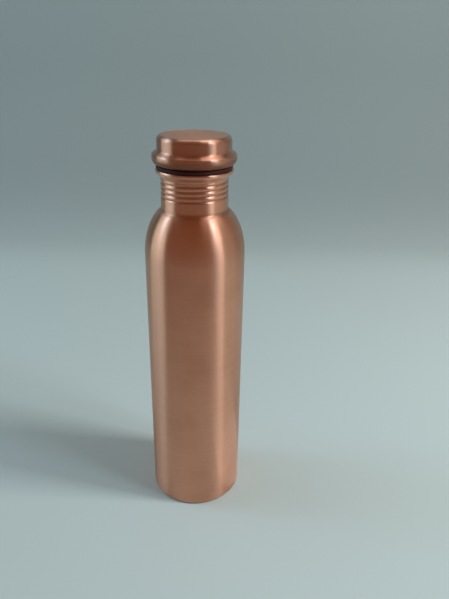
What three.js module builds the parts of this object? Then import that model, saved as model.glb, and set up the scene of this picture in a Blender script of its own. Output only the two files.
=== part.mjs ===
// Copper water bottle with a screw cap. Millimetres, +Z up; the origin is on the bottle's axis
// in the plane of its foot. The shell is one piece of sheet: its foot is turned in, its neck has a
// rolled thread and its mouth a rolled rim. A dished base closes it. The cap is a hollow pressing
// clinched over the flange of a threaded plug, which carries the sealing ring.

import * as THREE from "three";

// Body shell
const BODY_RADIUS = 36;
const WALL = 0.5;
const FIT_GAP = 0.3;
const FOOT_CORNER = 2.2;
const FOOT_INNER_RADIUS = 31.5;
const SIDE_TOP = 208.8;
const SHOULDER_DEPTH = 20.5;
const SHOULDER_HEIGHT = 35.8;
const SHOULDER_FILLET = 2.6;

// Neck and mouth
const NECK_RADIUS = 23.5;
const FLARE_BOTTOM = 263.2;
const FLARE_FILLET = 2.6;
const FLARE_ANGLE = Math.PI / 4;
const RIM_RADIUS = 26.8;
const RIM_ROUND = 2.4;
const RIM_TOP = 269.4;
const RIM_ROLL = 0.8;

// Thread, rolled into the neck and into the cap's plug
const THREAD_PITCH = 3.4;
const THREAD_DEPTH = 0.62;
const THREAD_BOTTOM = 249.4;
const THREAD_TOP = 262.9;
const THREAD_FADE = 1.2;
const THREAD_GROOVE_HEIGHT = 251.3;
const THREAD_GROOVE_ANGLE = -1.51;
const THREAD_ROWS_PER_TURN = 6;
const THREAD_CLEARANCE = 0.35;

// Base
const BASE_HEIGHT = 5.4;
const BASE_DISH = 1.2;
const BASE_CORNER = 1.5;

// Cap pressing
const CAP_RADIUS = 25.4;
const CAP_TOP = 291.6;
const CAP_CROWN = 0.3;
const CAP_EDGE_ROUND = 3.2;
const BEAD_MIDDLE = 276.9;
const BEAD_DEPTH = 3.45;
const BEAD_HALF_HEIGHT = 4.5;
const BEAD_SHOULDER = 278.3;
const BEAD_ROUND = 1.8;
const BEAD_SLOPE = 0.98;
const BEAD_FILLET = 2;
const CURL_INNER_RADIUS = 24.2;

// Plug and sealing ring
const PLUG_BOTTOM = 246.6;
const PLUG_WALL = 0.6;
const PLUG_COLLAR_RADIUS = 22.4;
const FLANGE_RADIUS = 25.6;
const END_DISC_RAISE = 1;
const END_DISC_SKIRT = 3.5;
const RING_OUTER_RADIUS = 26.2;
const RING_BOTTOM = 269.65;
const RING_TOP = 272.1;
const RING_ROUND = 0.5;

const SEGMENTS = 36;
const THREAD_STEP = THREAD_PITCH / THREAD_ROWS_PER_TURN;
const QUARTER = Math.PI / 2;

const point = (radius, height) => new THREE.Vector2(radius, height);

// Points along an ellipse's arc about (x, y), both ends included.
function arc(x, y, radiusX, radiusY, from, to, steps) {
  const curve = new THREE.EllipseCurve(x, y, radiusX, radiusY, from, to, to < from);
  return curve.getPoints(steps);
}

// The outline moved sideways by a distance: to its left, looking along it.
function offset(outline, distance) {
  return outline.map((here, i) => {
    const before = outline[Math.max(i - 1, 0)];
    const after = outline[Math.min(i + 1, outline.length - 1)];
    const along = after.clone().sub(before).normalize();
    return point(here.x - along.y * distance, here.y + along.x * distance);
  });
}

// A level spacing of points up a straight wall, with both ends left out.
function rowsBetween(radius, bottom, top) {
  const count = Math.round((top - bottom) / THREAD_STEP);
  const step = (top - bottom) / count;
  return Array.from({ length: count - 1 }, (_, i) => point(radius, bottom + (i + 1) * step));
}

// Share of the thread's full depth at a height: it fades out at both ends.
function threadShare(height) {
  const below = THREE.MathUtils.smoothstep(height, THREAD_BOTTOM, THREAD_BOTTOM + THREAD_FADE);
  const above = THREE.MathUtils.smoothstep(height, THREAD_TOP - THREAD_FADE, THREAD_TOP);
  return below * (1 - above);
}

// 1 in the bottom of the right-hand helical groove, 0 on the crest between two turns.
function grooveShare(angle, height) {
  const turns = (height - THREAD_GROOVE_HEIGHT) / THREAD_PITCH;
  const phase = 2 * Math.PI * turns - (angle - THREAD_GROOVE_ANGLE);
  return Math.pow((1 + Math.cos(phase)) / 2, 1.3);
}

// Moves the vertices of a turned solid in or out: change(radius, angle, height) is the new radius.
function reshape(geometry, change) {
  const position = geometry.getAttribute("position");
  for (let i = 0; i < position.count; i += 1) {
    const x = position.getX(i);
    const y = position.getY(i);
    const z = position.getZ(i);
    const radius = Math.hypot(x, y);
    if (radius > 0) {
      const scale = change(radius, Math.atan2(y, x), z) / radius;
      position.setXYZ(i, x * scale, y * scale, z);
    }
  }
}

// A solid of revolution about +Z from an outline of (radius, height) points.
function turned(outline) {
  const geometry = new THREE.LatheGeometry(outline, SEGMENTS);
  geometry.rotateX(QUARTER);
  return geometry;
}

const closed = (outline) => [...outline, outline[0].clone()];

// Shell: foot, side and elliptical shoulder up to the fillet under the neck.
function shellSide() {
  const shoulderX = BODY_RADIUS - SHOULDER_DEPTH;
  const turn = 1.09;
  const end = point(
    shoulderX + SHOULDER_DEPTH * Math.cos(turn),
    SIDE_TOP + SHOULDER_HEIGHT * Math.sin(turn),
  );
  const filletX = NECK_RADIUS + SHOULDER_FILLET;
  const slope = Math.acos((filletX - end.x) / SHOULDER_FILLET);
  const filletY = end.y + SHOULDER_FILLET * Math.sin(slope);
  return [
    point(FOOT_INNER_RADIUS, 0),
    ...arc(BODY_RADIUS - FOOT_CORNER, FOOT_CORNER, FOOT_CORNER, FOOT_CORNER, -QUARTER, 0, 4),
    ...arc(shoulderX, SIDE_TOP, SHOULDER_DEPTH, SHOULDER_HEIGHT, 0, turn, 10),
    ...arc(filletX, filletY, SHOULDER_FILLET, SHOULDER_FILLET, Math.PI + slope, Math.PI, 3).slice(1),
  ];
}

// Flare above the neck, out to the rim's widest point.
function flare() {
  const start = arc(
    NECK_RADIUS + FLARE_FILLET, FLARE_BOTTOM, FLARE_FILLET, FLARE_FILLET,
    Math.PI, Math.PI - FLARE_ANGLE, 3,
  );
  const low = start[start.length - 1];
  const centreX = RIM_RADIUS - RIM_ROUND;
  const rise = centreX + RIM_ROUND * Math.cos(FLARE_ANGLE) - low.x;
  const centreY = low.y + rise + RIM_ROUND * Math.sin(FLARE_ANGLE);
  return [...start, ...arc(centreX, centreY, RIM_ROUND, RIM_ROUND, -FLARE_ANGLE, 0, 3)];
}

function bodyShell() {
  const side = shellSide();
  const neck = rowsBetween(NECK_RADIUS, THREAD_BOTTOM, THREAD_TOP + THREAD_STEP / 2);
  const up = [...side, point(NECK_RADIUS, THREAD_BOTTOM), ...neck, ...flare()];
  const rollX = RIM_RADIUS - RIM_ROLL;
  const rim = arc(rollX, RIM_TOP - RIM_ROLL, RIM_ROLL, RIM_ROLL, 0, Math.PI, 6).slice(1);
  const inside = offset(up, WALL).filter((p) => p.y < FLARE_BOTTOM + FLARE_FILLET / 2);
  const geometry = turned(closed([...up, ...rim, ...inside.reverse()]));
  reshape(geometry, (radius, angle, height) => {
    if (height < THREAD_BOTTOM || height > THREAD_TOP) return radius;
    return radius - THREAD_DEPTH * threadShare(height) * grooveShare(angle, height);
  });
  return geometry;
}

// Dished disc with a skirt down to the turned-in foot.
function baseDisc() {
  const radius = BODY_RADIUS - WALL - FIT_GAP;
  const skirtBottom = FOOT_CORNER + FIT_GAP / 2;
  const cornerX = radius - BASE_CORNER;
  const cornerY = BASE_HEIGHT - BASE_CORNER;
  const dish = new THREE.QuadraticBezierCurve(
    point(cornerX, BASE_HEIGHT), point(cornerX / 2, BASE_HEIGHT + BASE_DISH),
    point(0, BASE_HEIGHT + BASE_DISH),
  );
  const outer = [
    point(radius, skirtBottom),
    ...arc(cornerX, cornerY, BASE_CORNER, BASE_CORNER, 0, QUARTER, 3),
    ...dish.getPoints(5).slice(1),
  ];
  const inner = offset(outer, WALL);
  inner[inner.length - 1].x = 0;
  return turned([...inner.reverse(), ...outer]);
}

// Inverted cup whose lower edge is rolled out into the bead and curled in under the plug's flange.
function capShell() {
  const crownEdge = CAP_RADIUS - CAP_EDGE_ROUND;
  const edgeY = CAP_TOP - CAP_CROWN - CAP_EDGE_ROUND;
  const roundX = CAP_RADIUS + BEAD_DEPTH - BEAD_ROUND;
  const round = arc(roundX, BEAD_SHOULDER, BEAD_ROUND, BEAD_ROUND, BEAD_SLOPE, 0, 4);
  const filletX = CAP_RADIUS + BEAD_FILLET;
  const slopeWidth = round[0].x - filletX + BEAD_FILLET * Math.cos(BEAD_SLOPE);
  const slopeTop = round[0].y + slopeWidth / Math.tan(BEAD_SLOPE);
  const filletY = slopeTop + BEAD_FILLET * Math.sin(BEAD_SLOPE);
  const outer = [
    point(0, CAP_TOP),
    point(crownEdge / 2, CAP_TOP - CAP_CROWN / 4),
    ...arc(crownEdge, edgeY, CAP_EDGE_ROUND, CAP_EDGE_ROUND, QUARTER, 0, 4),
    ...arc(filletX, filletY, BEAD_FILLET, BEAD_FILLET, Math.PI, Math.PI + BEAD_SLOPE, 3),
    ...round,
    ...arc(CAP_RADIUS, BEAD_MIDDLE, BEAD_DEPTH, BEAD_HALF_HEIGHT, 0, -QUARTER, 7),
    point(CURL_INNER_RADIUS, BEAD_MIDDLE - BEAD_HALF_HEIGHT),
  ];
  const inner = offset(outer, -WALL);
  inner[0].x = 0;
  return turned([...outer, ...inner.reverse()].reverse());
}

// Flanged sleeve with the male thread. Its root clears the neck's rolled ridges at every turn.
function capPlug() {
  const crest = NECK_RADIUS - WALL - THREAD_CLEARANCE;
  const root = crest - THREAD_DEPTH;
  const bore = root - PLUG_WALL;
  const flangeBottom = BEAD_MIDDLE - BEAD_HALF_HEIGHT + WALL + FIT_GAP;
  const outline = [
    point(bore, PLUG_BOTTOM),
    point(root, PLUG_BOTTOM),
    point(root, THREAD_BOTTOM),
    ...rowsBetween(root, THREAD_BOTTOM, THREAD_TOP),
    point(root, THREAD_TOP),
    point(PLUG_COLLAR_RADIUS, THREAD_TOP + 1),
    point(PLUG_COLLAR_RADIUS, flangeBottom - 1),
    point(PLUG_COLLAR_RADIUS + 1, flangeBottom),
    point(FLANGE_RADIUS, flangeBottom),
    point(FLANGE_RADIUS, flangeBottom + WALL),
    point(bore + 1, flangeBottom + WALL),
    point(bore, flangeBottom - 1),
  ];
  const geometry = turned(closed(outline));
  reshape(geometry, (radius, angle, height) => {
    const threaded = height > THREAD_BOTTOM && height < THREAD_TOP && radius > bore + PLUG_WALL / 2;
    if (!threaded) return radius;
    return radius + THREAD_DEPTH * threadShare(height) * (1 - grooveShare(angle, height));
  });
  return geometry;
}

// Shallow cup that closes the plug: its skirt stands up inside the sleeve.
function plugEndDisc() {
  const crest = NECK_RADIUS - WALL - THREAD_CLEARANCE;
  const radius = crest - THREAD_DEPTH - PLUG_WALL - FIT_GAP;
  const bottom = PLUG_BOTTOM + END_DISC_RAISE;
  const outer = [
    point(0, bottom + WALL),
    point(radius - 3, bottom + WALL),
    point(radius - 2, bottom),
    ...arc(radius - 1, bottom + 1, 1, 1, -QUARTER, 0, 3),
    point(radius, bottom + END_DISC_SKIRT),
  ];
  const inner = offset(outer, WALL);
  inner[0].x = 0;
  return turned([...outer, ...inner.reverse()]);
}

// Flat washer with rounded edges, free on the plug's collar.
function sealingRing() {
  const inner = PLUG_COLLAR_RADIUS + FIT_GAP;
  const outer = RING_OUTER_RADIUS;
  const corner = (x, y, from) => arc(x, y, RING_ROUND, RING_ROUND, from, from + QUARTER, 2);
  return turned(closed([
    ...corner(outer - RING_ROUND, RING_BOTTOM + RING_ROUND, -QUARTER),
    ...corner(outer - RING_ROUND, RING_TOP - RING_ROUND, 0),
    ...corner(inner + RING_ROUND, RING_TOP - RING_ROUND, QUARTER),
    ...corner(inner + RING_ROUND, RING_BOTTOM + RING_ROUND, Math.PI),
  ]));
}

const satinCopper = { color: 0xb5735a, roughness: 0.35, metalness: 1 };
const brightCopper = { color: 0xc08066, roughness: 0.28, metalness: 1 };
const darkRubber = { color: 0x2b2326, roughness: 0.7, metalness: 0 };

function piece(name, geometry, look) {
  const mesh = new THREE.Mesh(geometry, new THREE.MeshStandardMaterial(look));
  mesh.name = name;
  return mesh;
}

const bottle = new THREE.Group();
bottle.add(piece("body_shell", bodyShell(), satinCopper));
bottle.add(piece("base_disc", baseDisc(), satinCopper));

const cap = new THREE.Group();
cap.add(piece("cap_shell", capShell(), satinCopper));
cap.add(piece("cap_plug", capPlug(), brightCopper));
cap.add(piece("plug_end_disc", plugEndDisc(), brightCopper));
cap.add(piece("sealing_ring", sealingRing(), darkRubber));
bottle.add(cap);

export default bottle;
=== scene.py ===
"""Looks of a copper water bottle with a screw cap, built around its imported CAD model.

Every piece is turned: an outline of (radius, height) points in metres is spun about the bottle's
axis, and the threads are pressed into the spun mesh by the same screw formula on the neck and on
the plug.
"""

import math

import bpy
from mathutils import Matrix, Vector


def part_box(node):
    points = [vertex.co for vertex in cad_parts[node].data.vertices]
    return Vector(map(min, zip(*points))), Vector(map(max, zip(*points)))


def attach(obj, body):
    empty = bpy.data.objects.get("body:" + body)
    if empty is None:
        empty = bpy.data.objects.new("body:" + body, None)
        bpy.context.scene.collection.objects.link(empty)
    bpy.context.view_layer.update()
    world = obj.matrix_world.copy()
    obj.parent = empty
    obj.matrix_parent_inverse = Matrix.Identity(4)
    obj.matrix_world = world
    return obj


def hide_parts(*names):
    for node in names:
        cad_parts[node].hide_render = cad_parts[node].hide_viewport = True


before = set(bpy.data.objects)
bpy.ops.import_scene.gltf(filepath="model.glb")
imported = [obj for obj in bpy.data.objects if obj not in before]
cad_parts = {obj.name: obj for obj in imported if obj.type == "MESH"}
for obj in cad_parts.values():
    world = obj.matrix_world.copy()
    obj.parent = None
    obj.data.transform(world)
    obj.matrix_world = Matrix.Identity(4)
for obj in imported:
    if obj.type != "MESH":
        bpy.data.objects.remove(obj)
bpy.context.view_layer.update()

MM = 0.001
QUARTER = math.pi / 2
SEGMENTS = 192
SHARP_ANGLE = math.radians(50)
ON_AXIS = 1e-9


# ---- sizes, read from the frame where a node's box gives them ----

def reach(node):
    """A round node's outer radius, bottom and top."""
    low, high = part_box(node)
    return high.x, low.z, high.z


BODY_RADIUS, _, RIM_TOP = reach("body_shell")
BEAD_RADIUS, CURL_BOTTOM, CAP_TOP = reach("cap_shell")
FLANGE_RADIUS, PLUG_BOTTOM, FLANGE_TOP = reach("cap_plug")
BASE_RADIUS, BASE_SKIRT_BOTTOM, BASE_TOP = reach("base_disc")
END_RADIUS, END_BOTTOM, END_TOP = reach("plug_end_disc")
RING_RADIUS, RING_BOTTOM, RING_TOP = reach("sealing_ring")

WALL = 0.5 * MM
FOOT_CORNER = 2.2 * MM
FOOT_INNER_RADIUS = 31.5 * MM
SIDE_TOP = 208.8 * MM
SHOULDER_DEPTH = 20.5 * MM
SHOULDER_HEIGHT = 35.8 * MM
SHOULDER_TURN = 1.09
SHOULDER_FILLET = 2.6 * MM
NECK_RADIUS = 23.5 * MM
FLARE_BOTTOM = 263.2 * MM
FLARE_FILLET = 2.6 * MM
RIM_RADIUS = 26.8 * MM
RIM_ROUND = 2.4 * MM
RIM_ROLL = 0.8 * MM
CAP_RADIUS = 25.4 * MM
CAP_CROWN = 0.3 * MM
CAP_EDGE_ROUND = 3.2 * MM
BEAD_SHOULDER = 278.3 * MM
BEAD_HALF_HEIGHT = 4.5 * MM
BEAD_ROUND = 1.8 * MM
BEAD_SLOPE = 0.98
BEAD_FILLET = 2 * MM
CURL_INNER_RADIUS = 24.2 * MM
BASE_CORNER = 1.5 * MM
BASE_DOME = 1.2 * MM
PLUG_COLLAR_RADIUS = 22.4 * MM
PLUG_WALL = 0.6 * MM
PLUG_LIP = 0.25 * MM
RING_GAP = 0.3 * MM
RING_ROUND = 0.6 * MM
RING_LINE = 0.05 * MM

THREAD_PITCH = 3.4 * MM
THREAD_DEPTH = 0.62 * MM
THREAD_BOTTOM = 249.4 * MM
THREAD_TOP = 262.9 * MM
THREAD_FADE = 1.2 * MM
THREAD_GROOVE_HEIGHT = 251.3 * MM
THREAD_GROOVE_ANGLE = -1.51
THREAD_SHARPNESS = 1.3
THREAD_CLEARANCE = 0.35 * MM
THREAD_STEP = 0.2 * MM


# ---- outlines ----

def arc(x, y, radius_x, radius_y, start, end, steps):
    """Points along an ellipse's arc about (x, y), both ends included."""
    angles = [start + (end - start) * i / steps for i in range(steps + 1)]
    return [(x + radius_x * math.cos(a), y + radius_y * math.sin(a)) for a in angles]


def straight(start, end, steps):
    """Points from start to end, without start."""
    return [
        (start[0] + (end[0] - start[0]) * i / steps, start[1] + (end[1] - start[1]) * i / steps)
        for i in range(1, steps + 1)
    ]


def offset(outline, distance):
    """The outline moved to its left by a distance, looking along it."""
    moved = []
    for i, (x, y) in enumerate(outline):
        before = outline[max(i - 1, 0)]
        after = outline[min(i + 1, len(outline) - 1)]
        dx, dy = after[0] - before[0], after[1] - before[1]
        length = math.hypot(dx, dy)
        moved.append((x - dy / length * distance, y + dx / length * distance))
    return moved


def smoothstep(value, low, high):
    share = min(max((value - low) / (high - low), 0), 1)
    return share * share * (3 - 2 * share)


def bell(value, middle, width):
    """1 at the middle, fading out over the width on both sides of it."""
    return math.exp(-(((value - middle) / width) ** 2))


def thread_share(height):
    """Share of the thread's full depth at a height: it fades out at both ends."""
    below = smoothstep(height, THREAD_BOTTOM, THREAD_BOTTOM + THREAD_FADE)
    return below * (1 - smoothstep(height, THREAD_TOP - THREAD_FADE, THREAD_TOP))


def groove_share(angle, height):
    """1 in the bottom of the right-hand helical groove, 0 on the crest between two turns."""
    turns = (height - THREAD_GROOVE_HEIGHT) / THREAD_PITCH
    phase = 2 * math.pi * turns - (angle - THREAD_GROOVE_ANGLE)
    return ((1 + math.cos(phase)) / 2) ** THREAD_SHARPNESS


# ---- turning a mesh ----

def add_object(name, data):
    made = bpy.data.objects.new(name, data)
    bpy.context.scene.collection.objects.link(made)
    return made


def spun_faces(outline, first_points, closed):
    """The faces between the spun points of each two neighbours in the outline, and their UVs.

    U runs once round, and V is the length along the outline in metres.
    """
    faces, uvs, length = [], [], 0.0
    count = len(outline)
    for i in range(count if closed else count - 1):
        j = (i + 1) % count
        start, end = first_points[i], first_points[j]
        v = length
        length += math.dist(outline[i], outline[j])
        for k in range(SEGMENTS):
            n = (k + 1) % SEGMENTS
            u, un = k / SEGMENTS, (k + 1) / SEGMENTS
            if outline[i][0] < ON_AXIS:
                faces.append((start, end + n, end + k))
                uvs += [(u, v), (un, length), (u, length)]
            elif outline[j][0] < ON_AXIS:
                faces.append((start + k, start + n, end))
                uvs += [(u, v), (un, v), (u, length)]
            else:
                faces.append((start + k, start + n, end + n, end + k))
                uvs += [(u, v), (un, v), (un, length), (u, length)]
    return faces, uvs


def turned(name, outline, closed=False, change=None, recess=None, inside=None):
    """A mesh object spun about +Z from (radius, height) points, its faces pointing out of the material.

    change(radius, angle, height) presses in the thread. Point attributes: recess is how deep in a
    groove or corner or under a rim a point is, which the copper turns into painted shade, or below 0 how
    much an edge is rubbed; inside is 1 on surfaces that only show with the cap off. A closed outline's
    last point is joined to its first.
    """
    angles = [2 * math.pi * k / SEGMENTS for k in range(SEGMENTS)]
    points, hollows, hidden, first_points = [], [], [], []
    for radius, height in outline:
        first_points.append(len(points))
        on_axis = radius < ON_AXIS
        shut_away = inside(radius, height) if inside else 0.0
        for angle in angles[:1] if on_axis else angles:
            r = 0.0 if on_axis else radius
            if change and not on_axis:
                r = change(radius, angle, height)
            points.append((r * math.cos(angle), r * math.sin(angle), height))
            hollows.append(recess(radius, angle, height) if recess else 0.0)
            hidden.append(shut_away)
    faces, uvs = spun_faces(outline, first_points, closed)
    mesh = bpy.data.meshes.new(name)
    mesh.from_pydata(points, [], faces)
    layer = mesh.uv_layers.new(name="turning")
    layer.data.foreach_set("uv", [c for uv in uvs for c in uv])
    for attribute, values in (("recess", hollows), ("inside", hidden)):
        mesh.attributes.new(attribute, "FLOAT", "POINT").data.foreach_set("value", values)
    mesh.polygons.foreach_set("use_smooth", [True] * len(mesh.polygons))
    mesh.set_sharp_from_angle(angle=SHARP_ANGLE)
    mesh.validate()
    return add_object(name, mesh)


# ---- the pieces ----

def shell_side():
    """Foot, side and elliptical shoulder, up to the fillet under the neck."""
    shoulder_x = BODY_RADIUS - SHOULDER_DEPTH
    end_x = shoulder_x + SHOULDER_DEPTH * math.cos(SHOULDER_TURN)
    end_y = SIDE_TOP + SHOULDER_HEIGHT * math.sin(SHOULDER_TURN)
    fillet_x = NECK_RADIUS + SHOULDER_FILLET
    slope = math.acos((fillet_x - end_x) / SHOULDER_FILLET)
    fillet_y = end_y + SHOULDER_FILLET * math.sin(slope)
    corner_x = BODY_RADIUS - FOOT_CORNER
    return [
        (FOOT_INNER_RADIUS, 0.0),
        *straight((FOOT_INNER_RADIUS, 0.0), (corner_x, 0.0), 3),
        *arc(corner_x, FOOT_CORNER, FOOT_CORNER, FOOT_CORNER, -QUARTER, 0, 12)[1:],
        *straight((BODY_RADIUS, FOOT_CORNER), (BODY_RADIUS, SIDE_TOP), 40),
        *arc(shoulder_x, SIDE_TOP, SHOULDER_DEPTH, SHOULDER_HEIGHT, 0, SHOULDER_TURN, 48)[1:],
        *arc(fillet_x, fillet_y, SHOULDER_FILLET, SHOULDER_FILLET,
             math.pi + slope, math.pi, 10)[1:],
    ]


def flare():
    """The flare above the neck, out to the rim's widest point."""
    turn = math.pi / 4
    bend = arc(NECK_RADIUS + FLARE_FILLET, FLARE_BOTTOM, FLARE_FILLET, FLARE_FILLET,
               math.pi, math.pi - turn, 10)
    low = bend[-1]
    centre_x = RIM_RADIUS - RIM_ROUND
    rise = centre_x + RIM_ROUND * math.cos(turn) - low[0]
    centre_y = low[1] + rise + RIM_ROUND * math.sin(turn)
    return bend + arc(centre_x, centre_y, RIM_ROUND, RIM_ROUND, -turn, 0, 10)


def body_shell():
    """The sheet from the foot to the rolled rim: outside, rim, and the same outline a wall inward."""
    side, mouth = shell_side(), flare()
    neck = straight(side[-1], (NECK_RADIUS, FLARE_BOTTOM),
                    round((FLARE_BOTTOM - side[-1][1]) / THREAD_STEP))
    up = side + neck[:-1] + mouth
    rim = arc(RIM_RADIUS - RIM_ROLL, RIM_TOP - RIM_ROLL, RIM_ROLL, RIM_ROLL, 0, math.pi, 20)[1:]
    lining = [p for p in offset(up, WALL) if p[1] < FLARE_BOTTOM + FLARE_FILLET / 2]
    neck_corner = side[-1][1]

    def press(radius, angle, height):
        if THREAD_BOTTOM < height < THREAD_TOP:
            return radius - THREAD_DEPTH * thread_share(height) * groove_share(angle, height)
        return radius

    # Above 0: painted shade in the thread's grooves, in the corner under the neck and under the lip. Below
    # 0: the foot, the rim's edge and the thread's crests rubbed bright by wear.
    def recess(radius, angle, height):
        corner = bell(height, neck_corner - 1.2 * MM, 1.3 * MM)
        groove = thread_share(height) * groove_share(angle, height)
        under_lip = smoothstep(height, THREAD_TOP, THREAD_TOP + 2 * MM)
        under_lip *= 1 - smoothstep(height, RIM_TOP - 3.6 * MM, RIM_TOP - 2.2 * MM)
        on_neck = radius < NECK_RADIUS + 2 * MM
        painted_shade = max(0.5 * groove, 0.4 * corner if on_neck else 0.0, 0.3 * under_lip)
        foot = (1 - smoothstep(height, 0.8 * MM, 2.6 * MM)) * (radius > FOOT_INNER_RADIUS + MM)
        rim_edge = smoothstep(height, RIM_TOP - 1.4 * MM, RIM_TOP - 0.4 * MM)
        crest = 0.4 * thread_share(height) * groove_share(angle + math.pi, height)
        return painted_shade - max(foot, rim_edge, crest)

    def inside(radius, height):
        if height > RIM_TOP - RIM_ROLL or height < WALL / 2:
            return 0.0
        outer = min(up, key=lambda p: abs(p[1] - height))[0] if height > FOOT_CORNER else BODY_RADIUS
        return 1.0 if radius < outer - WALL / 2 else 0.0

    return turned("body_shell_skin", up + rim + lining[::-1], True, press, recess, inside)


def base_disc():
    """The base, domed up to its middle, with a skirt down the inside of the foot."""
    level = BASE_TOP - BASE_DOME
    corner_x = BASE_RADIUS - BASE_CORNER
    steps = 60
    shares = [i / steps for i in range(1, steps + 1)]
    outer = [
        (BASE_RADIUS, BASE_SKIRT_BOTTOM),
        *arc(corner_x, level - BASE_CORNER, BASE_CORNER, BASE_CORNER, 0, QUARTER, 12),
        *[(corner_x * (1 - t), level + BASE_DOME * smoothstep(t, 0, 1)) for t in shares],
    ]
    inner = offset(outer, WALL)
    inner[-1] = (0.0, inner[-1][1])
    return turned("base_disc_skin", inner[::-1] + outer)


def cap_shell():
    """Inverted cup whose lower edge is rolled out into the bead and curled in under the flange."""
    crown_edge = CAP_RADIUS - CAP_EDGE_ROUND
    edge_y = CAP_TOP - CAP_CROWN - CAP_EDGE_ROUND
    bead_y = CURL_BOTTOM + BEAD_HALF_HEIGHT
    bend = arc(BEAD_RADIUS - BEAD_ROUND, BEAD_SHOULDER, BEAD_ROUND, BEAD_ROUND, BEAD_SLOPE, 0, 14)
    fillet_x = CAP_RADIUS + BEAD_FILLET
    slope_width = bend[0][0] - fillet_x + BEAD_FILLET * math.cos(BEAD_SLOPE)
    slope_top = bend[0][1] + slope_width / math.tan(BEAD_SLOPE)
    fillet_y = slope_top + BEAD_FILLET * math.sin(BEAD_SLOPE)
    fillet = arc(fillet_x, fillet_y, BEAD_FILLET, BEAD_FILLET, math.pi, math.pi + BEAD_SLOPE, 14)
    crown = [
        (crown_edge * i / 24, CAP_TOP - CAP_CROWN * (i / 24) ** 2) for i in range(25)
    ]
    outer = [
        *crown,
        *arc(crown_edge, edge_y, CAP_EDGE_ROUND, CAP_EDGE_ROUND, QUARTER, 0, 16)[1:],
        *straight((CAP_RADIUS, edge_y), fillet[0], 6),
        *fillet[1:],
        *straight(fillet[-1], bend[0], 4),
        *bend[1:],
        *straight(bend[-1], (BEAD_RADIUS, bead_y), 3),
        *arc(CAP_RADIUS, bead_y, BEAD_RADIUS - CAP_RADIUS, BEAD_HALF_HEIGHT, 0, -QUARTER, 28)[1:],
        (CURL_INNER_RADIUS, CURL_BOTTOM),
    ]
    inner = offset(outer, -WALL)
    inner[0] = (0.0, inner[0][1])

    # Above 0: painted shade under the bead. Below 0: the top's rounded edge and the bead's shoulder rubbed
    # bright by wear.
    def recess(radius, angle, height):
        painted_shade = 1 - smoothstep(height, bead_y - 2.6 * MM, bead_y + 2 * MM)
        top_edge = bell(height, edge_y + 0.75 * CAP_EDGE_ROUND, 0.9 * MM)
        bead_edge = 0.4 * bell(height, BEAD_SHOULDER + MM, 0.7 * MM)
        return painted_shade - max(top_edge, bead_edge * (radius > CAP_RADIUS + MM))

    shell = turned("cap_shell_skin", (outer + inner[::-1])[::-1], recess=recess)
    for face in shell.data.polygons:
        face.material_index = int(face.normal.z > 0.99 and face.center.z > edge_y)
    return shell


def blend_curve(start, control, end, steps):
    """A quadratic curve from start to end, without start."""
    made = []
    for i in range(1, steps + 1):
        t = i / steps
        made.append(tuple(
            (1 - t) ** 2 * a + 2 * t * (1 - t) * b + t * t * c
            for a, b, c in zip(start, control, end)
        ))
    return made


def cap_plug():
    """Flanged sleeve with the male thread."""
    crest = NECK_RADIUS - WALL - THREAD_CLEARANCE
    root = crest - THREAD_DEPTH
    bore = root - PLUG_WALL
    flange_bottom = FLANGE_TOP - WALL
    lip_y = PLUG_BOTTOM + PLUG_LIP
    outline = [
        *arc(bore + PLUG_LIP, lip_y, PLUG_LIP, PLUG_LIP, math.pi, 1.5 * math.pi, 4),
        *arc(root - PLUG_LIP, lip_y, PLUG_LIP, PLUG_LIP, -QUARTER, 0, 4),
        *straight((root, lip_y), (root, THREAD_TOP),
                  round((THREAD_TOP - PLUG_BOTTOM) / THREAD_STEP)),
        *blend_curve((root, THREAD_TOP), (PLUG_COLLAR_RADIUS, THREAD_TOP),
                     (PLUG_COLLAR_RADIUS, THREAD_TOP + MM), 6),
        *straight((PLUG_COLLAR_RADIUS, THREAD_TOP + MM),
                  (PLUG_COLLAR_RADIUS, flange_bottom - MM), 8),
        *blend_curve((PLUG_COLLAR_RADIUS, flange_bottom - MM),
                     (PLUG_COLLAR_RADIUS, flange_bottom),
                     (PLUG_COLLAR_RADIUS + MM, flange_bottom), 6),
        (FLANGE_RADIUS, flange_bottom),
        (FLANGE_RADIUS, FLANGE_TOP),
        (bore + MM, FLANGE_TOP),
        *blend_curve((bore + MM, FLANGE_TOP), (bore, FLANGE_TOP), (bore, flange_bottom - MM), 6),
    ]

    def press(radius, angle, height):
        if radius > root - PLUG_LIP and THREAD_BOTTOM < height < THREAD_TOP:
            return radius + THREAD_DEPTH * thread_share(height) * (1 - groove_share(angle, height))
        return radius

    # Above 0: painted shade in the thread's grooves. Below 0: the crests and the lower lip rubbed bright
    # by wear.
    def recess(radius, angle, height):
        if radius < bore + PLUG_LIP:
            return 0.0
        rubbed_crest = 0.5 * thread_share(height) * groove_share(angle + math.pi, height)
        lower_lip = 1 - smoothstep(height, lip_y, lip_y + 2 * PLUG_LIP)
        return thread_share(height) * groove_share(angle, height) - max(rubbed_crest, lower_lip)

    return turned("cap_plug_skin", outline, True, press, recess)


def plug_end_disc():
    """Shallow cup that closes the plug, with a low pressed panel in its middle."""
    low, halfway, high = END_BOTTOM, END_BOTTOM + WALL / 2, END_BOTTOM + WALL
    panel, bend_in, step, bend_out, rim = (END_RADIUS - d * MM for d in (3.2, 2.6, 2.4, 2.2, 1.8))
    outer = [
        (0.0, high),
        *straight((0.0, high), (panel, high), 8),
        *blend_curve((panel, high), (bend_in, high), (step, halfway), 4),
        *blend_curve((step, halfway), (bend_out, low), (rim, low), 4),
        *arc(END_RADIUS - MM, low + MM, MM, MM, -QUARTER, 0, 10),
        (END_RADIUS, END_TOP),
    ]
    inner = offset(outer, WALL)
    inner[0] = (0.0, inner[0][1])
    return turned("plug_end_disc_skin", outer + inner[::-1])


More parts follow.
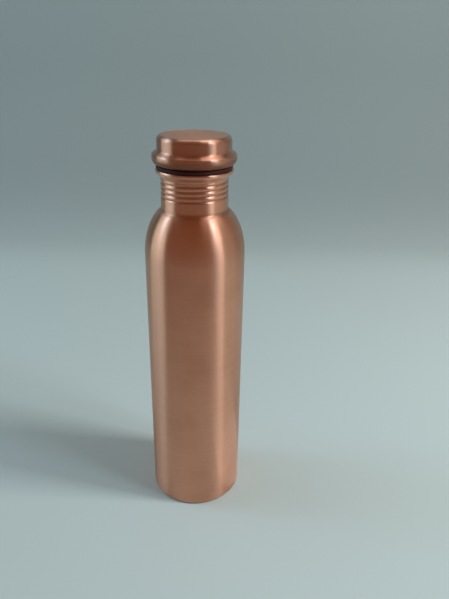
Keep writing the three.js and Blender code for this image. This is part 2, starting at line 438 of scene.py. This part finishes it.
def sealing_ring():
    """Moulded washer with rounded edges and a fine parting line round its outside."""
    edge = RING_RADIUS - RING_LINE
    middle = (RING_BOTTOM + RING_TOP) / 2
    x0, x1 = PLUG_COLLAR_RADIUS + RING_GAP + RING_ROUND, edge - RING_ROUND
    y0, y1 = RING_BOTTOM + RING_ROUND, RING_TOP - RING_ROUND
    return turned("sealing_ring_skin", [
        *arc(x1, y0, RING_ROUND, RING_ROUND, -QUARTER, 0, 8),
        (edge, middle - 2 * RING_LINE),
        (RING_RADIUS, middle - RING_LINE / 2),
        (RING_RADIUS, middle + RING_LINE / 2),
        (edge, middle + 2 * RING_LINE),
        *arc(x1, y1, RING_ROUND, RING_ROUND, 0, QUARTER, 8),
        *arc(x0, y1, RING_ROUND, RING_ROUND, QUARTER, math.pi, 8),
        *arc(x0, y0, RING_ROUND, RING_ROUND, math.pi, 1.5 * math.pi, 8),
    ], True)


# ---- materials ----

COPPER = (0.82, 0.41, 0.27)
# The cap's side and bead get a darker copy of the copper: painted shade that tones down their reflections.
SHADED_COPPER = (0.66, 0.325, 0.22)
BRIGHT_COPPER = (0.86, 0.5, 0.36)
# Dark brown of tarnish, made darker so that it also serves as painted shade in grooves and under the bead.
TARNISH_AND_SHADE = (0.2, 0.065, 0.032)


class Nodes:
    """A material's node tree, with short calls to add and join its nodes."""

    def __init__(self, name):
        self.material = bpy.data.materials.new(name)
        self.material.use_nodes = True
        self.tree = self.material.node_tree
        self.shader = self.tree.nodes["Principled BSDF"]

    def add(self, kind, **settings):
        node = self.tree.nodes.new(kind)
        for key, value in settings.items():
            setattr(node, key, value)
        return node

    def join(self, source, target):
        self.tree.links.new(source, target)

    def feed(self, sockets, values):
        """Sets each socket to its number, or joins its source to it."""
        for socket, value in zip(sockets, values):
            if isinstance(value, (int, float)):
                socket.default_value = value
            else:
                self.join(value, socket)

    def math(self, operation, a, b, clamp=False):
        node = self.add("ShaderNodeMath", operation=operation, use_clamp=clamp)
        self.feed(node.inputs, (a, b))
        return node.outputs[0]

    def times(self, value, factor):
        return self.math("MULTIPLY", value, factor)

    def total(self, *values, clamp=False):
        """The sum of all the values, kept between 0 and 1 if clamp is set."""
        made = values[0]
        for value in values[1:-1]:
            made = self.math("ADD", made, value)
        return self.math("ADD", made, values[-1], clamp)

    def span(self, value, low, high, to_low=0.0, to_high=1.0):
        """A smooth step from to_low, where value is low, to to_high, where it is high."""
        node = self.add("ShaderNodeMapRange", interpolation_type="SMOOTHSTEP")
        keys = ("Value", "From Min", "From Max", "To Min", "To Max")
        self.feed([node.inputs[key] for key in keys], (value, low, high, to_low, to_high))
        return node.outputs["Result"]

    def noise(self, vector, scale, detail, roughness):
        """Noise from 0 to 1, with scale cells to each unit of vector."""
        node = self.add("ShaderNodeTexNoise")
        keys = ("Vector", "Scale", "Detail", "Roughness")
        self.feed([node.inputs[key] for key in keys], (vector, scale, detail, roughness))
        return node.outputs["Fac"]

    def mix(self, share, a, b):
        node = self.add("ShaderNodeMix", data_type="RGBA")
        self.join(share, node.inputs[0])
        for socket, value in ((node.inputs[6], a), (node.inputs[7], b)):
            if isinstance(value, tuple):
                socket.default_value = (*value, 1.0)
            else:
                self.join(value, socket)
        return node.outputs[2]

    def vector(self, x, y, z):
        node = self.add("ShaderNodeCombineXYZ")
        self.feed(node.inputs, (x, y, z))
        return node.outputs[0]

    def split(self, vector):
        node = self.add("ShaderNodeSeparateXYZ")
        self.join(vector, node.inputs[0])
        return node.outputs

    def bump(self, height, strength, distance):
        node = self.add("ShaderNodeBump")
        keys = ("Height", "Strength", "Distance")
        self.feed([node.inputs[key] for key in keys], (height, strength, distance))
        self.join(node.outputs[0], self.shader.inputs["Normal"])

    def set(self, **values):
        for key, value in values.items():
            self.shader.inputs[key.replace("_", " ")].default_value = value


def rings(n, where, round_scale, along_scale, detail):
    """Noise drawn out round the axis, in cells per metre across the bottle and up its outline."""
    x, y, _ = n.split(where)
    along = n.split(n.add("ShaderNodeUVMap", uv_map="turning").outputs[0])[1]
    drawn = n.vector(n.times(x, round_scale), n.times(y, round_scale), n.times(along, along_scale))
    return n.noise(drawn, 1.0, detail, 0.6)


def scratches(n, where):
    """Sparse handling scratches that run mostly down the bottle."""
    x, y, z = n.split(where)
    slanted = n.vector(
        n.total(n.times(x, 900.0), n.times(z, 60.0)),
        n.total(n.times(y, 900.0), n.times(z, -40.0)),
        n.times(z, 22.0),
    )
    return n.span(n.noise(slanted, 1.0, 1.0, 0.4), 0.76, 0.84)


def brushed_copper(name, clean, roughness, lines, patina, streak=1.0):
    """Copper brushed around the axis: fine rings, cloudy tarnish, painted shade in grooves and under the
    bead, light scratches.

    clean is the bare metal's colour, lines how strongly the rings show, patina how much tarnish
    there is, and streak how much a highlight is drawn out across the rings.
    """
    n = Nodes(name)
    where = n.add("ShaderNodeTexCoord").outputs["Object"]
    depth = n.add("ShaderNodeAttribute", attribute_name="recess").outputs["Fac"]
    inside = n.add("ShaderNodeAttribute", attribute_name="inside").outputs["Fac"]
    fine = rings(n, where, 22.0, 5200.0, 2.0)
    broad = rings(n, where, 9.0, 620.0, 3.0)
    cloud = n.noise(where, 26.0, 5.0, 0.6)
    speckle = n.noise(where, 420.0, 3.0, 0.6)
    scratch = scratches(n, where)

    # The recess attribute above 0 is painted shade in grooves, corners and under the bead; below 0 it is
    # wear that rubs edges bright.
    recess = n.math("MAXIMUM", depth, 0.0)
    rubbed = n.math("MAXIMUM", n.times(depth, -1.0), 0.0)
    rubbed = n.times(rubbed, n.span(n.noise(where, 70.0, 2.0, 0.5), 0.3, 0.7, 0.25, 1.0))
    # Tarnish clouds, darker insides and specks, together with the painted shade from the recess attribute.
    stain_and_shade = n.total(
        n.times(n.span(cloud, 0.42, 0.72), patina),
        n.times(recess, 0.9),
        n.times(inside, 0.45),
        n.times(n.span(speckle, 0.6, 0.8), 0.12),
        clamp=True,
    )

    polished = tuple(c + (1 - c) * 0.3 for c in clean)
    dark = tuple(c * 0.62 for c in clean)
    shade = n.total(
        n.times(n.span(broad, 0.3, 0.7), 0.12 * lines),
        n.times(n.span(fine, 0.3, 0.7), 0.1 * lines),
    )
    base = n.mix(n.times(rubbed, 0.4), n.mix(stain_and_shade, clean, TARNISH_AND_SHADE), polished)
    n.join(n.mix(shade, base, dark), n.shader.inputs["Base Color"])

    rough = n.total(
        roughness,
        n.times(n.total(cloud, -0.5), 0.12),
        n.times(n.total(fine, -0.5), 0.1 * lines),
        n.times(stain_and_shade, 0.1),
        n.times(rubbed, -0.04),
        n.times(scratch, -0.06),
        clamp=True,
    )
    n.join(rough, n.shader.inputs["Roughness"])

    height = n.total(
        n.times(fine, 0.6 * lines),
        n.times(broad, lines),
        n.times(scratch, -0.3),
        n.times(speckle, 0.25),
    )
    n.bump(height, 0.35, 0.012 * MM)

    tangent = n.add("ShaderNodeTangent", direction_type="RADIAL", axis="Z")
    n.join(tangent.outputs[0], n.shader.inputs["Tangent"])
    drawn_out = n.times(n.total(1.0, n.times(recess, -0.6)), streak)
    n.join(drawn_out, n.shader.inputs["Anisotropic"])
    n.set(Metallic=1.0, Anisotropic_Rotation=0.25)
    return n.material


def rubber(name, colour, dust):
    """Dark moulded rubber with a faint grain and pale dust in patches."""
    n = Nodes(name)
    where = n.add("ShaderNodeTexCoord").outputs["Object"]
    grain = n.noise(where, 1500.0, 3.0, 0.6)
    patch = n.span(n.noise(where, 90.0, 4.0, 0.6), 0.5, 0.75, 0.0, 0.25)
    n.join(n.mix(patch, colour, dust), n.shader.inputs["Base Color"])
    n.join(n.span(grain, 0.2, 0.8, 0.5, 0.68), n.shader.inputs["Roughness"])
    n.bump(grain, 0.4, 0.03 * MM)
    n.set(Metallic=0.0, Specular_IOR_Level=0.2)
    return n.material


def sheet_paint():
    """Matt paint, pale on the floor and darker up the sweep and the wall behind it."""
    n = Nodes("sheet_paint")
    depth = n.split(n.add("ShaderNodeTexCoord").outputs["Object"])[1]
    paint = n.mix(n.span(depth, 0.45, 0.85), (0.64, 0.685, 0.65), (0.37, 0.405, 0.395))
    n.join(paint, n.shader.inputs["Base Color"])
    n.set(Roughness=0.9, Specular_IOR_Level=0.2)
    return n.material


# ---- putting the pieces in the frame ----

def place(piece, body, node, slot, *materials):
    """Gives a piece its materials and its place in the frame."""
    for material in materials:
        piece.data.materials.append(material)
    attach(piece, body)
    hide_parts(node)


body_look = brushed_copper("body_copper", COPPER, roughness=0.32, lines=0.75, patina=0.08)
cap_look = brushed_copper("cap_copper", SHADED_COPPER, roughness=0.32, lines=0.8, patina=0.08)
cap_top_look = brushed_copper("cap_top_copper", COPPER, roughness=0.42, lines=0.8, patina=0.1, streak=0.25)
base_look = brushed_copper("base_copper", COPPER, roughness=0.42, lines=1.4, patina=0.5)
plug_look = brushed_copper("plug_copper", BRIGHT_COPPER, roughness=0.3, lines=0.7, patina=0.3)
seal_look = rubber("seal_rubber", colour=(0.05, 0.013, 0.009), dust=(0.075, 0.032, 0.026))

place(body_shell(), "bottle", "body_shell", "body_copper", body_look)
place(base_disc(), "bottle", "base_disc", "base_copper", base_look)
place(cap_shell(), "cap", "cap_shell", "cap_copper", cap_look, cap_top_look)
place(cap_plug(), "cap", "cap_plug", "plug_copper", plug_look)
place(plug_end_disc(), "cap", "plug_end_disc", "plug_copper", plug_look)
place(sealing_ring(), "seal", "sealing_ring", "seal_rubber", seal_look)


# ---- floor, lights and camera ----

def stage():
    """A plain pale sheet: a floor that sweeps up into a wall behind the bottle."""
    front, back, sweep, wall_top, half_width = -2.6, 0.6, 0.3, 1.6, 2.6
    outline = [
        *straight((front, 0.0), (back, 0.0), 9),
        *arc(back, sweep, sweep, sweep, -QUARTER, 0, 24)[1:],
        *straight((back + sweep, sweep), (back + sweep, wall_top), 4),
    ]
    points = [(side * half_width, y, z) for y, z in outline for side in (-1, 1)]
    faces = [(2 * i, 2 * i + 1, 2 * i + 3, 2 * i + 2) for i in range(len(outline) - 1)]
    mesh = bpy.data.meshes.new("studio_sheet")
    mesh.from_pydata(points, [], faces)
    mesh.polygons.foreach_set("use_smooth", [True] * len(faces))
    mesh.materials.append(sheet_paint())
    add_object("studio_sheet", mesh)


def warm_room():
    """The dim brown room on the camera's side. Only reflections in the metal see it."""
    near, far, lift, overhead = 0.45, 1.35, 0.004, 1.5
    first, last, steps = -66, 51, 24
    path = [(near, lift), *arc(0.0, lift, far, far, 0, overhead, 12)]
    points, faces = [], []
    for i in range(steps + 1):
        azimuth = math.radians(first + (last - first) * i / steps)
        points += [(r * math.sin(azimuth), -r * math.cos(azimuth), z) for r, z in path]
    rows = len(path)
    for i in range(steps):
        for j in range(rows - 1):
            k = i * rows + j
            faces.append((k, k + 1, k + rows + 1, k + rows))
    mesh = bpy.data.meshes.new("warm_room")
    mesh.from_pydata(points, [], faces)
    n = Nodes("room_glow")
    n.set(Base_Color=(0.0, 0.0, 0.0, 1.0), Specular_IOR_Level=0.0, Roughness=1.0,
          Emission_Color=(0.2, 0.1, 0.06, 1.0), Emission_Strength=1.0)
    mesh.materials.append(n.material)
    room = add_object("warm_room", mesh)
    room.visible_camera = False
    room.visible_diffuse = False
    room.visible_shadow = False


def area_light(name, shape, width, height, watts, colour):
    data = bpy.data.lights.new(name, "AREA")
    data.shape, data.size, data.size_y = shape, width, height
    data.energy, data.color = watts, colour
    light = add_object(name, data)
    light.visible_camera = False
    return light


def soft_light(name, azimuth, elevation, distance, width, height, watts, colour):
    """A soft box aimed at the bottle. Azimuth is counted from the camera's side, to the right."""
    aim = Vector((0, 0, CAP_TOP * 0.55))
    a, e = math.radians(azimuth), math.radians(elevation)
    toward = Vector((math.sin(a) * math.cos(e), -math.cos(a) * math.cos(e), math.sin(e)))
    light = area_light(name, "RECTANGLE", width, height, watts, colour)
    light.location = aim + toward * distance
    light.rotation_mode = "QUATERNION"
    light.rotation_quaternion = (-toward).to_track_quat("-Z", "Y")
    return light


def floor_glow():
    """Light that the floor close on the right throws up at the bottle's foot."""
    light = area_light("floor_glow", "ELLIPSE", 0.12, 0.12, 0.0115, (0.9, 1, 1.05))
    light.location = (0.095, -0.01, 0.002)
    light.rotation_euler = (math.pi, 0, 0)
    return light


def surroundings():
    """A dim, even light from all round."""
    world = bpy.data.worlds.new("studio_air")
    world.use_nodes = True
    air = world.node_tree.nodes["Background"]
    air.inputs["Color"].default_value = (0.2, 0.19, 0.17, 1)
    air.inputs["Strength"].default_value = 1.0
    bpy.context.scene.world = world


def camera():
    """Stands a little to the right of the bottle, above it, and looks down at it."""
    stand = Vector((22.03, -374.57, 347.36)) * MM
    pitch, roll = math.radians(25.22), math.radians(1.068)
    data = bpy.data.cameras.new("camera")
    data.sensor_fit, data.sensor_width, data.lens = "AUTO", 36.0, 32.95
    data.clip_start, data.clip_end = 0.01, 20.0
    ahead = Vector((0, math.cos(pitch), -math.sin(pitch)))
    right = Vector((1, 0, 0))
    up = right.cross(ahead)
    side = right * math.cos(roll) + up * math.sin(roll)
    top = up * math.cos(roll) - right * math.sin(roll)
    turn = Matrix((side, top, -ahead)).transposed()
    lens = add_object("camera", data)
    lens.matrix_world = Matrix.Translation(stand) @ turn.to_4x4()
    bpy.context.scene.camera = lens


stage()
warm_room()
glow = floor_glow()
surroundings()
# name, azimuth, elevation, distance, width, height, watts, colour
soft_light("window_left", -90, 9, 1.2, 0.9, 0.58, 2, (0.75, 1, 1.06))
soft_light("window_left_high", -107, 38, 1.2, 0.9, 0.5, 1.48, (0.72, 1, 1.08))
soft_light("glint_left", -97, 36, 1.2, 0.2, 0.34, 0.9, (0.6, 1, 1.75))
soft_light("window_right", 64, 24, 1.2, 0.27, 1.1, 1.73, (0.88, 1, 1.08))
soft_light("glint_right", 61, 45, 1.2, 0.19, 0.3, 1.34, (0.7, 1, 1.3))
soft_light("side_right", 100, 22, 1.25, 1.3, 1, 0.82, (1, 0.7, 0.55))
sky_right = soft_light("skylight_right", 97, 64, 1.3, 0.77, 0.85, 3.08, (0.92, 0.88, 0.82))
sky_back = soft_light("skylight_back", 175, 72, 1.2, 0.9, 0.5, 2.12, (0.97, 0.92, 0.88))
low_sun = soft_light("low_sun", 80, 38, 1.3, 0.25, 0.25, 8.6, (0.88, 1, 1.03))
low_sun.visible_glossy = False
for light in (glow, sky_right, sky_back):
    light.visible_diffuse = False
camera()
bpy.context.scene.view_settings.view_transform = "Standard"
